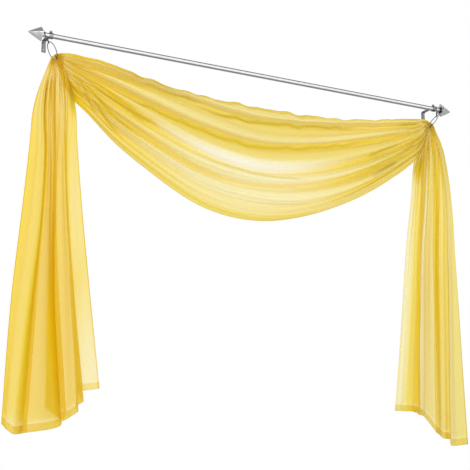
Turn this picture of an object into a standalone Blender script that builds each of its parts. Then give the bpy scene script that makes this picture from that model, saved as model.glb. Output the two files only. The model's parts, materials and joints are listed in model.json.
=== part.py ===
"""A sheer scarf valance on its curtain rod.

One long sheer scarf hangs through a pair of linked rings at each end of a slim rod. It falls in one
swag between the rings and in a pleated tail outside each of them. The rod has an arrowhead finial at
each end and lies in two wall brackets.

Metres, +Z up. X runs along the rod and -Y is the front. The origin lies on the wall plane, level
with the rod's axis and midway between the brackets.
"""
import math

import bmesh
import bpy
import numpy as np
from mathutils import Matrix, Vector

# Rod, finials and brackets
ROD_RADIUS = 0.0095
ROD_HALF_LENGTH = 0.938
WALL_TO_ROD = 0.080
GAP = 0.0003
FINIAL_BASE_X = 0.932
FINIAL_LENGTH = 0.054
FINIAL_HALF_DIAGONAL = 0.0305
FINIAL_EDGE = 0.0012
FINIAL_SOCKET_DEPTH = 0.0065
BRACKET_X = 0.894
STRAP_WIDTH = 0.017
STRAP_THICKNESS = 0.003
STRAP_BEND = 0.006
PLATE_BOTTOM = -0.040
ARM_HEIGHT = 0.0075
SLEEVE_RADIUS = 0.0125
SLEEVE_LENGTH = 0.014
WALL_SCREW_HEIGHT = -0.029
WALL_SCREW_RADIUS = 0.0024
KNOB_RADIUS = 0.0052
KNOB_HEIGHT = 0.0065
KNOB_SHANK_RADIUS = 0.0020

# Rings: a round ring on the rod carries a larger one that holds the cloth
WIRE_RADIUS = 0.0016
UPPER_RING_RADIUS = 0.0235
LOWER_RING_RADIUS = 0.0355
RING_STEPS = 36
WIRE_STEPS = 8
RING_LINK_GAP = 0.0005
# end, upper ring's top along the rod, its height above the rod's axis, then in degrees:
# upper tilt towards the swag, upper turn, lower tilt, lower turn
RING_POSES = (
    ("left", 0.919, 0.0121, 22.0, 30.0, 28.0, 3.0),
    ("right", 0.915, 0.0118, 8.0, 38.0, 34.0, 7.5),
)

# Scarf
CLOTH_THICKNESS = 0.0010
FOLDS = 12
NECK_INNER_RADIUS = 0.0032
NECK_FOLD_SPACING = 0.00195
NECK_DEPTH_INNER = 0.007
NECK_DEPTH_OUTER = 0.012
NECK_ROUNDNESS = 3.0
OPEN_ROUNDNESS = 1.25
# share of the way over the wire, from the tail to the swag, and how far the folds spread there
NECK_SECTIONS = ((0.0, 1.1), (0.33, 1.0), (0.67, 1.05), (1.0, 1.22))
SWAG_EXIT_TOP = 92.0
SWAG_EXIT_BOTTOM = 158.0
# columns of cloth in each fold, as shares of the way to the next fold line
FOLD_COLUMNS = (0.0, 0.18, 0.5, 0.82)

# share of the drop, outer edge from the ring, inner edge from the ring, share of the fold depth,
# shift of the inner edge to the back
LEFT_TAIL_SECTIONS = (
    (1.000, 0.160, 0.204, 1.00, 0.000),
    (0.650, 0.139, 0.148, 0.82, 0.000),
    (0.420, 0.111, 0.114, 0.66, 0.000),
    (0.250, 0.092, 0.092, 0.50, -0.004),
    (0.150, 0.083, 0.081, 0.36, -0.009),
    (0.085, 0.063, 0.061, 0.22, -0.014),
    (0.035, 0.043, 0.021, 0.10, -0.012),
)
RIGHT_TAIL_SECTIONS = (
    (1.000, 0.129, 0.238, 1.00, 0.000),
    (0.650, 0.118, 0.187, 0.82, 0.000),
    (0.420, 0.108, 0.149, 0.66, 0.000),
    (0.250, 0.103, 0.108, 0.50, 0.008),
    (0.150, 0.093, 0.086, 0.36, 0.014),
    (0.085, 0.082, 0.062, 0.22, 0.016),
    (0.035, 0.065, 0.013, 0.10, 0.012),
)
# shares of the drop at which the next two tables place the fold lines
FOLD_STATIONS = (0.30, 0.63, 1.0)

# places across the tail at the three stations (0 outer edge, 1 inner edge), depth at the hem
# (front is negative), drop from the ring to the hem
LEFT_TAIL_FOLDS = (
    (0.000, 0.000, 0.000, -0.010, 1.393),
    (0.262, 0.182, 0.092, -0.045, 1.430),
    (0.420, 0.380, 0.300, 0.040, 1.410),
    (0.345, 0.288, 0.207, -0.040, 1.424),
    (0.500, 0.576, 0.622, 0.001, 1.384),
    (0.565, 0.530, 0.475, 0.028, 1.319),
    (0.610, 0.648, 0.712, 0.042, 1.330),
    (0.534, 0.548, 0.589, -0.032, 1.376),
    (0.706, 0.760, 0.765, -0.020, 1.338),
    (0.735, 0.785, 0.780, 0.002, 1.314),
    (0.757, 0.817, 0.850, 0.003, 1.294),
    (0.830, 0.812, 0.812, 0.034, 1.262),
    (1.000, 1.000, 1.000, -0.015, 1.247),
)
RIGHT_TAIL_FOLDS = (
    (0.000, 0.000, 0.000, -0.012, 1.379),
    (0.145, 0.220, 0.270, -0.030, 1.390),
    (0.150, 0.185, 0.205, 0.005, 1.362),
    (0.335, 0.325, 0.345, -0.010, 1.358),
    (0.375, 0.370, 0.362, 0.026, 1.332),
    (0.510, 0.515, 0.515, -0.045, 1.337),
    (0.600, 0.610, 0.610, -0.022, 1.281),
    (0.725, 0.750, 0.745, -0.045, 1.272),
    (0.655, 0.580, 0.560, 0.040, 1.262),
    (0.785, 0.732, 0.715, 0.000, 1.256),
    (0.870, 0.880, 0.885, -0.010, 1.258),
    (0.930, 0.935, 0.940, -0.008, 1.258),
    (1.000, 1.000, 1.000, -0.020, 1.260),
)

# place along the rod, height of the top edge, height of the bottom edge, share of the fold depth,
# shift of the bottom edge to the back
SWAG_SECTIONS = (
    (-0.835, -0.059, -0.172, 0.10, 0.013),
    (-0.798, -0.060, -0.229, 0.22, 0.012),
    (-0.735, -0.062, -0.284, 0.38, 0.008),
    (-0.635, -0.070, -0.376, 0.60, 0.004),
    (-0.480, -0.100, -0.480, 0.82, 0.000),
    (-0.250, -0.124, -0.594, 0.97, 0.000),
    (0.000, -0.136, -0.623, 1.00, 0.000),
    (0.250, -0.132, -0.568, 0.97, 0.000),
    (0.450, -0.113, -0.480, 0.84, 0.000),
    (0.630, -0.086, -0.372, 0.62, -0.004),
    (0.735, -0.070, -0.295, 0.42, -0.008),
    (0.795, -0.062, -0.240, 0.24, -0.012),
    (0.836, -0.057, -0.170, 0.10, -0.012),
)
# place across the swag at its left quarter, middle and right quarter (0 top edge, 1 bottom edge),
# depth in the middle (front is negative)
SWAG_FOLDS = (
    (0.000, 0.000, 0.000, 0.000),
    (0.060, 0.100, 0.080, -0.045),
    (0.085, 0.135, 0.115, 0.008),
    (0.240, 0.310, 0.270, -0.055),
    (0.275, 0.340, 0.300, 0.012),
    (0.430, 0.500, 0.460, -0.050),
    (0.500, 0.570, 0.560, -0.005),
    (0.620, 0.660, 0.660, -0.045),
    (0.670, 0.700, 0.710, 0.008),
    (0.760, 0.800, 0.830, -0.042),
    (0.830, 0.885, 0.890, 0.006),
    (0.930, 0.960, 0.960, -0.035),
    (1.000, 1.000, 1.000, -0.008),
)
SWAG_QUARTER = 0.46
# rows of cloth between neighbouring keys: each tail from its hem, the ring, then the swag
TAIL_ROWS = (3, 2, 2, 1, 1, 1, 1)
NECK_ROWS = (2, 1, 2)
SWAG_ROWS = (1, 1, 1, 2, 2, 2, 3, 3, 2, 2, 2, 1, 1, 1)

STEEL = (0.74, 0.75, 0.76)
DARK_STEEL = (0.50, 0.51, 0.52)
CLOTH = (0.90, 0.62, 0.10)


def clear_scene():
    for thing in list(bpy.data.objects):
        bpy.data.objects.remove(thing, do_unlink=True)


def new_collection(name):
    group = bpy.data.collections.new(name)
    bpy.context.scene.collection.children.link(group)
    return group


def material(name, colour, metallic, roughness):
    made = bpy.data.materials.new(name)
    made.use_nodes = True
    shader = made.node_tree.nodes["Principled BSDF"]
    shader.inputs["Base Color"].default_value = (*colour, 1.0)
    shader.inputs["Metallic"].default_value = metallic
    shader.inputs["Roughness"].default_value = roughness
    return made


def add_object(name, mesh, group, finish=None, matrix=None):
    made = bpy.data.objects.new(name, mesh)
    group.objects.link(made)
    if matrix is not None:
        made.matrix_world = matrix
    if finish is not None:
        mesh.materials.append(finish)
    return made


def cylinder(name, radius, length, steps=32):
    """A closed cylinder along Z, centred on the origin."""
    mesh = bpy.data.meshes.new(name)
    shape = bmesh.new()
    bmesh.ops.create_cone(
        shape, cap_ends=True, segments=steps, radius1=radius, radius2=radius, depth=length
    )
    shape.to_mesh(mesh)
    shape.free()
    return mesh


def along_x(x, y=-WALL_TO_ROD, z=0.0):
    """Places a shape made along Z so that it lies along X at the given point."""
    return Matrix.Translation((x, y, z)) @ Matrix.Rotation(math.radians(90), 4, "Y")


def cutter(name, mesh, group, matrix):
    made = add_object(name, mesh, group, matrix=matrix)
    made.hide_render = True
    made.display_type = "WIRE"
    return made


def boolean(target, other, operation):
    step = target.modifiers.new(operation.title() + " " + other.name, "BOOLEAN")
    step.operation = operation
    step.object = other
    step.solver = "EXACT"


def make_rod(parts, steel):
    mesh = cylinder("rod", ROD_RADIUS, 2 * ROD_HALF_LENGTH, 40)
    rod = add_object("rod", mesh, parts, steel, along_x(0.0))
    mesh.shade_smooth()
    mesh.set_sharp_from_angle(angle=math.radians(40))
    return rod


def make_finial(end, side, parts, cutters, steel):
    """A four-sided arrowhead with a socket in its base for the rod's end."""
    mesh = bpy.data.meshes.new("finial_" + end)
    shape = bmesh.new()
    bmesh.ops.create_cone(
        shape,
        cap_ends=True,
        segments=4,
        radius1=FINIAL_HALF_DIAGONAL,
        radius2=FINIAL_EDGE,
        depth=FINIAL_LENGTH,
    )
    shape.to_mesh(mesh)
    shape.free()
    middle = side * (FINIAL_BASE_X + FINIAL_LENGTH / 2)
    outward = Matrix.Rotation(math.radians(90 * side), 4, "Y")
    place = Matrix.Translation((middle, -WALL_TO_ROD, 0)) @ outward
    finial = add_object("finial_" + end, mesh, parts, steel, place)
    edges = finial.modifiers.new("Rounded edges", "BEVEL")
    edges.width = FINIAL_EDGE * 0.8
    edges.segments = 2
    socket_mesh = cylinder("socket_" + end, ROD_RADIUS + GAP, 2 * FINIAL_SOCKET_DEPTH, 40)
    socket = cutter("socket_" + end, socket_mesh, cutters, along_x(side * FINIAL_BASE_X))
    boolean(finial, socket, "DIFFERENCE")
    return finial


def strap_path():
    """The strap's centre line in the YZ plane, from the plate's foot up and out to the rod."""
    half = STRAP_THICKNESS / 2
    points = [(-half, PLATE_BOTTOM), (-half, ARM_HEIGHT - STRAP_BEND)]
    for step in range(1, 7):
        turn = math.radians(90 * step / 6)
        y = -half - STRAP_BEND * (1 - math.cos(turn))
        z = ARM_HEIGHT - STRAP_BEND * (1 - math.sin(turn))
        points.append((y, z))
    points.append((-WALL_TO_ROD + ROD_RADIUS + GAP, ARM_HEIGHT))
    return points


def make_bracket(end, centre, parts, cutters, steel):
    """A bent strap with a sleeve for the rod at its front end."""
    mesh = bpy.data.meshes.new("bracket_" + end)
    shape = bmesh.new()
    previous = None
    for y, z in strap_path():
        row = [shape.verts.new((x, y, z)) for x in (-STRAP_WIDTH / 2, STRAP_WIDTH / 2)]
        if previous:
            shape.faces.new((previous[0], previous[1], row[1], row[0]))
        previous = row
    shape.to_mesh(mesh)
    shape.free()
    bracket = add_object("bracket_" + end, mesh, parts, steel, Matrix.Translation((centre, 0, 0)))
    wall = bracket.modifiers.new("Strap", "SOLIDIFY")
    wall.thickness = STRAP_THICKNESS
    wall.offset = 0
    wall.use_even_offset = True
    sleeve_mesh = cylinder("sleeve_" + end, SLEEVE_RADIUS, SLEEVE_LENGTH, 40)
    sleeve = cutter("sleeve_" + end, sleeve_mesh, cutters, along_x(centre))
    boolean(bracket, sleeve, "UNION")
    bore_mesh = cylinder("bore_" + end, ROD_RADIUS + GAP, 2 * STRAP_WIDTH, 40)
    bore = cutter("bore_" + end, bore_mesh, cutters, along_x(centre))
    boolean(bracket, bore, "DIFFERENCE")
    hole_mesh = cylinder("wall_hole_" + end, WALL_SCREW_RADIUS, 4 * STRAP_THICKNESS, 16)
    hole_place = Matrix.Translation((centre, 0, WALL_SCREW_HEIGHT))
    hole_place = hole_place @ Matrix.Rotation(math.radians(90), 4, "X")
    boolean(bracket, cutter("wall_hole_" + end, hole_mesh, cutters, hole_place), "DIFFERENCE")
    thread_mesh = cylinder("thread_" + end, KNOB_SHANK_RADIUS + GAP, 0.012, 16)
    thread_place = Matrix.Translation((centre, -WALL_TO_ROD, SLEEVE_RADIUS))
    boolean(bracket, cutter("thread_" + end, thread_mesh, cutters, thread_place), "DIFFERENCE")
    return bracket


def make_knob(end, centre, parts, steel):
    """The thumb screw that clamps the rod: a turned head on a short shank, made with Screw."""
    foot = ROD_RADIUS + GAP
    seat = SLEEVE_RADIUS + GAP
    edge = KNOB_RADIUS * 0.12
    profile = (
        (0.0, seat + KNOB_HEIGHT),
        (KNOB_RADIUS - edge, seat + KNOB_HEIGHT),
        (KNOB_RADIUS, seat + KNOB_HEIGHT - edge),
        (KNOB_RADIUS, seat),
        (KNOB_SHANK_RADIUS, seat),
        (KNOB_SHANK_RADIUS, foot),
        (0.0, foot),
    )
    mesh = bpy.data.meshes.new("clamp_screw_" + end)
    mesh.from_pydata([(r, 0, z) for r, z in profile], [(i, i + 1) for i in range(6)], [])
    place = Matrix.Translation((centre, -WALL_TO_ROD, 0))
    knob = add_object("clamp_screw_" + end, mesh, parts, steel, place)
    turn = knob.modifiers.new("Turned", "SCREW")
    turn.steps = 20
    turn.render_steps = 20
    turn.use_merge_vertices = True
    turn.merge_threshold = 0.00001
    return knob


def ring_frame(side, tilt, spin):
    """The way a ring hangs and its axis: it leans towards the swag, then turns about its hang."""
    tilt = math.radians(tilt)
    spin = math.radians(spin)
    hang = Vector((-side * math.sin(tilt), 0, -math.cos(tilt)))
    square = Vector((math.cos(tilt), 0, -side * math.sin(tilt)))
    axis = square * math.cos(spin) + Vector((0, -1, 0)) * math.sin(spin)
    return hang, axis


def make_ring(name, top, radius, side, tilt, spin, parts, steel):
    """A wire ring hung from its topmost point. Returns the lowest point of its centre line."""
    hang, axis = ring_frame(side, tilt, spin)
    bpy.ops.mesh.primitive_torus_add(
        major_radius=radius,
        minor_radius=WIRE_RADIUS,
        major_segments=RING_STEPS,
        minor_segments=WIRE_STEPS,
    )
    ring = bpy.context.active_object
    ring.name = name
    for owner in list(ring.users_collection):
        owner.objects.unlink(ring)
    parts.objects.link(ring)
    across = axis.cross(hang)
    turn = Matrix((hang, across, axis)).transposed().to_4x4()
    ring.matrix_world = Matrix.Translation(top + hang * radius) @ turn
    ring.data.materials.append(steel)
    ring.data.shade_smooth()
    return top + hang * radius * 2


def make_rings(end, side, pose, parts, steel):
    """Both rings of one end. Returns the wire centre under the cloth."""
    place, height, upper_tilt, upper_spin, lower_tilt, lower_spin = pose
    top = Vector((side * place, -WALL_TO_ROD, height))
    link = make_ring(
        "ring_upper_" + end, top, UPPER_RING_RADIUS, side, upper_tilt, upper_spin, parts, steel
    )
    hang, _ = ring_frame(side, upper_tilt, upper_spin)
    top = link - hang * (2 * WIRE_RADIUS + RING_LINK_GAP)
    return make_ring(
        "ring_lower_" + end, top, LOWER_RING_RADIUS, side, lower_tilt, lower_spin, parts, steel
    )


def spline(keys, times, at, roundness=1.0):
    """A smooth curve through keys given at times, read at the times in at.

    Cubic pieces whose slopes are the centred differences of the keys, times the roundness
    away from the two ends.
    """
    slopes = np.gradient(keys, times, axis=0)
    slopes[1:-1] *= roundness
    piece = np.clip(np.searchsorted(times, at, side="right") - 1, 0, len(times) - 2)
    shape = (-1,) + (1,) * (keys.ndim - 1)
    span = (times[piece + 1] - times[piece]).reshape(shape)
    f = (at - times[piece]).reshape(shape) / span
    start = (1 + 2 * f) * (1 - f) ** 2 * keys[piece]
    start += f * (1 - f) ** 2 * span * slopes[piece]
    finish = f * f * (3 - 2 * f) * keys[piece + 1]
    finish += f * f * (f - 1) * span * slopes[piece + 1]
    return start + finish


def fold_numbers():
    return np.arange(FOLDS + 1, dtype=float)


def neck_radius(spread):
    """How far each fold line passes from the ring's wire: the top edge is the outermost."""
    return NECK_INNER_RADIUS + (FOLDS - fold_numbers()) * NECK_FOLD_SPACING * spread


def neck_depth():
    """The folds' depth in the ring: odd lines to the front, even lines to the back."""
    share = fold_numbers() / FOLDS
    size = NECK_DEPTH_OUTER + (NECK_DEPTH_INNER - NECK_DEPTH_OUTER) * share
    return np.where(fold_numbers() % 2 == 1, -size, size)


def tail_keys(side, ring, sections, folds):
    """The fold lines of one tail at each section, from the hem up.

    They are evenly spread at the ring and run straight between the stations.
    """
    folds = np.array(folds)
    stations = np.array((0.0,) + FOLD_STATIONS)
    places = np.concatenate([fold_numbers()[None, :] / FOLDS, folds[:, :3].T])
    keys = []
    for share, outer, inner, opening, back in sections:
        piece = min(np.searchsorted(stations, share), len(stations) - 1)
        mix = (share - stations[piece - 1]) / (stations[piece] - stations[piece - 1])
        across = places[piece - 1] + (places[piece] - places[piece - 1]) * mix
        x = ring.x + side * (outer - (outer + inner) * across)
        y = ring.y + neck_depth() * (1 - opening) + folds[:, 3] * opening + back * across
        z = ring.z - folds[:, 4] * share
        keys.append(np.stack([x, y, z], axis=-1))
    return keys


def neck_keys(side, ring):
    """The fold lines over the ring's wire, from the tail's side to the swag's."""
    exits = np.radians(
        SWAG_EXIT_TOP + (SWAG_EXIT_BOTTOM - SWAG_EXIT_TOP) * fold_numbers() / FOLDS
    )
    keys = []
    for share, spread in NECK_SECTIONS:
        x = ring.x + side * neck_radius(spread) * np.cos(exits * share)
        y = ring.y + neck_depth()
        z = ring.z + neck_radius(spread) * np.sin(exits * share)
        keys.append(np.stack([x, y, z], axis=-1))
    return keys


def swag_keys(left, right):
    """The fold lines of the swag at each section, from the left ring to the right."""
    folds = np.array(SWAG_FOLDS)
    number = fold_numbers() / FOLDS
    stops = np.array([left.x, -SWAG_QUARTER, 0.0, SWAG_QUARTER, right.x])
    places = np.stack([number, folds[:, 0], folds[:, 1], folds[:, 2], number])
    keys = []
    for place, top, bottom, opening, back in SWAG_SECTIONS:
        across = spline(places, stops, np.array([place]))[0]
        x = np.full(FOLDS + 1, place)
        y = left.y + neck_depth() * (1 - opening) + folds[:, 3] * opening + back * across
        z = top + (bottom - top) * across
        keys.append(np.stack([x, y, z], axis=-1))
    return keys


def scarf_grid(left, right):
    """The scarf's middle surface: rows along its length, columns across its width."""
    keys = tail_keys(-1, left, LEFT_TAIL_SECTIONS, LEFT_TAIL_FOLDS)
    keys += neck_keys(-1, left)
    keys += swag_keys(left, right)
    keys += neck_keys(1, right)[::-1]
    keys += tail_keys(1, right, RIGHT_TAIL_SECTIONS, RIGHT_TAIL_FOLDS)[::-1]
    keys = np.array(keys)
    steps = np.linalg.norm(np.diff(keys, axis=0), axis=-1).mean(axis=1)
    times = np.concatenate([[0.0], np.cumsum(steps)])
    counts = TAIL_ROWS + NECK_ROWS + SWAG_ROWS + NECK_ROWS[::-1] + TAIL_ROWS[::-1]
    rows = [0.0]
    for start, finish, count in zip(times[:-1], times[1:], counts):
        rows += list(start + (finish - start) * (np.arange(count) + 1) / count)
    rows = np.array(rows)
    lines = spline(keys, times, rows)

    # Folds are boxed and close together in the rings and soft elsewhere.
    in_ring = np.ones(len(rows))
    for first in (len(LEFT_TAIL_SECTIONS), len(keys) - len(LEFT_TAIL_SECTIONS) - 4):
        centre = (times[first] + times[first + 3]) / 2
        in_ring = np.minimum(in_ring, np.clip((np.abs(rows - centre) - 0.03) / 0.12, 0, 1))
    roundness = NECK_ROUNDNESS + (OPEN_ROUNDNESS - NECK_ROUNDNESS) * in_ring
    columns = np.arange(FOLDS)[:, None] + np.array(FOLD_COLUMNS)
    columns = np.append(columns.ravel(), FOLDS)
    grid = spline(lines.transpose(1, 0, 2), fold_numbers(), columns, roundness[None, :, None])
    grid = grid.transpose(1, 0, 2)

    # The cloth lies in the curve of the ring's wire.
    for ring in (left, right):
        centre = np.array(ring)
        away = grid.mean(axis=1) - centre
        distance = np.linalg.norm(away, axis=1)
        near = np.clip(1 - (distance - 0.02) / 0.06, 0, 1)[:, None]
        depth = grid[:, :, 1] - ring.y
        lift = depth**2 / (2 * LOWER_RING_RADIUS) * near
        direction = away / distance[:, None]
        grid = grid + lift[:, :, None] * direction[:, None, :]
    return grid


def make_scarf(left, right, parts, cloth):
    """One sheet on the grid, thickened to both sides."""
    grid = scarf_grid(left, right)
    rows, columns, _ = grid.shape
    corner = np.arange((rows - 1) * columns).reshape(rows - 1, columns)[:, :-1].ravel()
    faces = np.stack([corner, corner + 1, corner + columns + 1, corner + columns], axis=-1)
    mesh = bpy.data.meshes.new("scarf")
    mesh.from_pydata(grid.reshape(-1, 3).tolist(), [], faces.tolist())
    mesh.shade_smooth()
    scarf = add_object("scarf", mesh, parts, cloth)
    thick = scarf.modifiers.new("Cloth thickness", "SOLIDIFY")
    thick.thickness = CLOTH_THICKNESS
    thick.offset = 0
    return scarf


def main():
    clear_scene()
    parts = new_collection("sheer scarf valance")
    cutters = new_collection("cutters")
    steel = material("polished steel", STEEL, 1.0, 0.22)
    strap_steel = material("plated strap", DARK_STEEL, 1.0, 0.32)
    cloth = material("sheer voile", CLOTH, 0.0, 0.85)
    make_rod(parts, steel)
    rings = []
    for (end, *pose), side in zip(RING_POSES, (-1, 1)):
        make_finial(end, side, parts, cutters, steel)
        make_bracket(end, side * BRACKET_X, parts, cutters, strap_steel)
        make_knob(end, side * BRACKET_X, parts, strap_steel)
        rings.append(make_rings(end, side, pose, parts, steel))
    make_scarf(rings[0], rings[1], parts, cloth)


main()
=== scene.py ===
# Sheer scarf valance on its curtain rod. Metres, +Z up, the front faces -Y and the wall is at Y = 0.
import json
import math

import bmesh
import bpy
import numpy as np
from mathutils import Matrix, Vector


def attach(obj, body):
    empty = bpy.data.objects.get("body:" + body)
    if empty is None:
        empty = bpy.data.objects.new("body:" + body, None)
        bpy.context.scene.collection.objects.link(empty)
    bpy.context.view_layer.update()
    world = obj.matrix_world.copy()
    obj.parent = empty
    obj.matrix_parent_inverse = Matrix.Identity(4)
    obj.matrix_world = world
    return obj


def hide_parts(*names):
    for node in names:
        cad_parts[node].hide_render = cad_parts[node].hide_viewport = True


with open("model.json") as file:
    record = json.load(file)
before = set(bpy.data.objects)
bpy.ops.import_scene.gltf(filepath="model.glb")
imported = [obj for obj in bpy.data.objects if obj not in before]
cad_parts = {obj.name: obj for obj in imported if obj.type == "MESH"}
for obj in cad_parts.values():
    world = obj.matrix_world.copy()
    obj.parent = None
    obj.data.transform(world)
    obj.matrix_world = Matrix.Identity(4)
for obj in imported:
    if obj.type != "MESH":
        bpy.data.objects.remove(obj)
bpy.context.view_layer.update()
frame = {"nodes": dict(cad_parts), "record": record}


# Nodes.

def newFinish(name):
    # A material, its node tree and its shader.
    finish = bpy.data.materials.new(name)
    finish.use_nodes = True
    return finish, finish.node_tree, finish.node_tree.nodes["Principled BSDF"]


def mathNode(tree, operation, first, second=None, third=None, clamp=False):
    # A Math node whose inputs are numbers or sockets.
    made = tree.nodes.new("ShaderNodeMath")
    made.operation = operation
    made.use_clamp = clamp
    for place, value in enumerate((first, second, third)):
        if isinstance(value, (int, float)):
            made.inputs[place].default_value = value
        elif value is not None:
            tree.links.new(value, made.inputs[place])
    return made.outputs[0]


def mixNode(tree, kind, factor, first, second):
    # A Mix node of colours or numbers whose inputs are values or sockets.
    made = tree.nodes.new("ShaderNodeMix")
    made.data_type = kind
    for name, value in (("Factor", factor), ("A", first), ("B", second)):
        socket = [s for s in made.inputs if s.name == name and s.enabled][0]
        if isinstance(value, (int, float)):
            socket.default_value = value
        elif isinstance(value, tuple):
            socket.default_value = (*value, 1.0)
        else:
            tree.links.new(value, socket)
    return [s for s in made.outputs if s.enabled][0]


def rangeNode(tree, value, numbers, kind="SMOOTHSTEP"):
    # A Map Range node; its numbers are the value's from and to, then the result's.
    made = tree.nodes.new("ShaderNodeMapRange")
    made.interpolation_type = kind
    for name, number in zip(("From Min", "From Max", "To Min", "To Max"), numbers):
        made.inputs[name].default_value = number
    tree.links.new(value, made.inputs["Value"])
    return made.outputs["Result"]


def noiseNode(tree, vector, stretch, detail):
    # Noise on coordinates that are scaled along each axis.
    place = tree.nodes.new("ShaderNodeMapping")
    place.inputs["Scale"].default_value = stretch
    tree.links.new(vector, place.inputs["Vector"])
    noise = tree.nodes.new("ShaderNodeTexNoise")
    noise.inputs["Scale"].default_value = 1.0
    noise.inputs["Detail"].default_value = detail
    tree.links.new(place.outputs[0], noise.inputs["Vector"])
    return noise.outputs["Fac"]


def addBump(tree, shader, height, strength, distance):
    # A Bump node between a height and the shader's normal.
    bump = tree.nodes.new("ShaderNodeBump")
    bump.inputs["Strength"].default_value = strength
    bump.inputs["Distance"].default_value = distance
    tree.links.new(height, bump.inputs["Height"])
    tree.links.new(bump.outputs["Normal"], shader.inputs["Normal"])


def newGroup(name, inputs, outputs):
    # A node group with its sockets, all of numbers but Vector.
    group = bpy.data.node_groups.new(name, "ShaderNodeTree")
    for inOut, sockets in (("INPUT", inputs), ("OUTPUT", outputs)):
        for socket in sockets:
            kind = "NodeSocketVector" if socket == "Vector" else "NodeSocketFloat"
            group.interface.new_socket(name=socket, in_out=inOut, socket_type=kind)
    return group, group.nodes.new("NodeGroupInput").outputs, group.nodes.new("NodeGroupOutput").inputs


# Camera, light and floor.

cameraSettings = {
    "place": (-2.5042, -4.6370, -1.9837),
    "yaw": 27.83,  # degrees turned to the right
    "pitch": 14.08,  # degrees looking up
    "lens": 102.64,  # mm
    "sensor": 36.0,  # mm
}

studioSettings = {
    "floorHeight": -2.25,
    "floorSide": 16.0,
    "floorColour": (0.80, 0.80, 0.79),
    "floorRoughness": 0.9,
    "backgroundWhite": 1.0,
    # a room's Y from and to with its brightness at each, then bands: Z from and to, share left at each
    "litRoom": (-0.45, 0.55, 0.86, 0.66),
    "litBands": ((-0.90, 0.10, 0.74, 1.00),),
    "mirroredRoom": (-0.85, -0.40, 2.30, 0.54),  # only the steel sees this one
    "mirroredBands": ((-0.60, -0.12, 0.98, 1.00), (0.66, 0.88, 1.00, 0.64)),
    "lamps": (
        # name, place, aimed at, size, watts
        ("keyLamp", (-3.2, -3.4, 1.9), (0.0, -0.1, -0.7), 2.2, 66.0),
        ("fillLamp", (2.8, -3.6, 0.4), (0.0, -0.1, -0.8), 2.6, 18.0),
        ("backLamp", (0.6, 2.6, 0.6), (0.0, -0.1, -0.6), 2.4, 46.0),
    ),
}


def makeCamera(settings):
    data = bpy.data.cameras.new("photoCamera")
    data.lens = settings["lens"]
    data.sensor_width = settings["sensor"]
    camera = bpy.data.objects.new("photoCamera", data)
    camera.location = settings["place"]
    up, right = math.radians(90 + settings["pitch"]), math.radians(-settings["yaw"])
    camera.rotation_euler = (up, 0.0, right)
    bpy.context.scene.collection.objects.link(camera)
    bpy.context.scene.camera = camera


def makeFloor(settings):
    half, height = settings["floorSide"] / 2, settings["floorHeight"]
    mesh = bpy.data.meshes.new("studioFloor")
    corners = [(half * x, half * y, height) for x, y in ((-1, -1), (1, -1), (1, 1), (-1, 1))]
    mesh.from_pydata(corners, [], [(0, 1, 2, 3)])
    floor = bpy.data.objects.new("studioFloor", mesh)
    bpy.context.scene.collection.objects.link(floor)
    finish, _, shader = newFinish("palePlaster")
    shader.inputs["Base Color"].default_value = (*settings["floorColour"], 1.0)
    shader.inputs["Roughness"].default_value = settings["floorRoughness"]
    mesh.materials.append(finish)
    floor.visible_glossy = False


def makeRoom(settings):
    # A plain white backdrop, and soft light from a room that is brighter in front than behind. The
    # steel mirrors a room with a brighter front.
    world = bpy.data.worlds.new("softRoom")
    world.use_nodes = True
    bpy.context.scene.world = world
    tree = world.node_tree
    nodes, links = tree.nodes, tree.links
    nodes.clear()
    where = nodes.new("ShaderNodeTexCoord")
    split = nodes.new("ShaderNodeSeparateXYZ")
    links.new(where.outputs["Generated"], split.inputs[0])
    glows = []
    for room in ("lit", "mirrored"):
        glow = rangeNode(tree, split.outputs["Y"], settings[room + "Room"])
        for band in settings[room + "Bands"]:
            glow = mathNode(tree, "MULTIPLY", glow, rangeNode(tree, split.outputs["Z"], band))
        glows.append(glow)
    path = nodes.new("ShaderNodeLightPath")
    glow = mixNode(tree, "FLOAT", path.outputs["Is Glossy Ray"], *glows)
    glow = mixNode(tree, "FLOAT", path.outputs["Is Camera Ray"], glow, settings["backgroundWhite"])
    background = nodes.new("ShaderNodeBackground")
    background.inputs["Color"].default_value = (1.0, 1.0, 1.0, 1.0)
    links.new(glow, background.inputs["Strength"])
    output = nodes.new("ShaderNodeOutputWorld")
    links.new(background.outputs[0], output.inputs["Surface"])


def makeLamps(settings):
    for name, place, aim, size, watts in settings["lamps"]:
        data = bpy.data.lights.new(name, "AREA")
        data.shape = "DISK"
        data.size = size
        data.energy = watts
        lamp = bpy.data.objects.new(name, data)
        lamp.location = place
        lamp.rotation_euler = (Vector(aim) - Vector(place)).to_track_quat("-Z", "Y").to_euler()
        lamp.visible_camera = False
        lamp.visible_glossy = False  # the steel mirrors the plain room
        bpy.context.scene.collection.objects.link(lamp)


bpy.context.scene.view_settings.view_transform = "Standard"
bpy.context.scene.view_settings.look = "None"
makeCamera(cameraSettings)
makeFloor(studioSettings)
makeRoom(studioSettings)
makeLamps(studioSettings)
print("studio set")


# Meshes from grids.

acrossWay, backWay, upWay = np.eye(3)  # along the rod, to the wall and up


def gridFaces(rows, columns):
    # Quads of a grid of points, row by row.
    corner = (np.arange(rows - 1)[:, None] * columns + np.arange(columns - 1)).ravel()
    return np.stack([corner, corner + 1, corner + columns + 1, corner + columns], axis=-1)


def meshFromPoints(name, points, faces, uv=None):
    # One object from arrays of points and quads, with a UV map read point by point.
    mesh = bpy.data.meshes.new(name)
    mesh.from_pydata(points.tolist(), [], faces.tolist(), shade_flat=False)
    if uv is not None:
        layer = mesh.uv_layers.new(name="cloth")
        layer.data.foreach_set("uv", uv[faces.ravel()].astype(np.float32).ravel())
    mesh.validate()
    made = bpy.data.objects.new(name, mesh)
    bpy.context.scene.collection.objects.link(made)
    return made


# Rings.

wallToRod = 0.080

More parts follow.
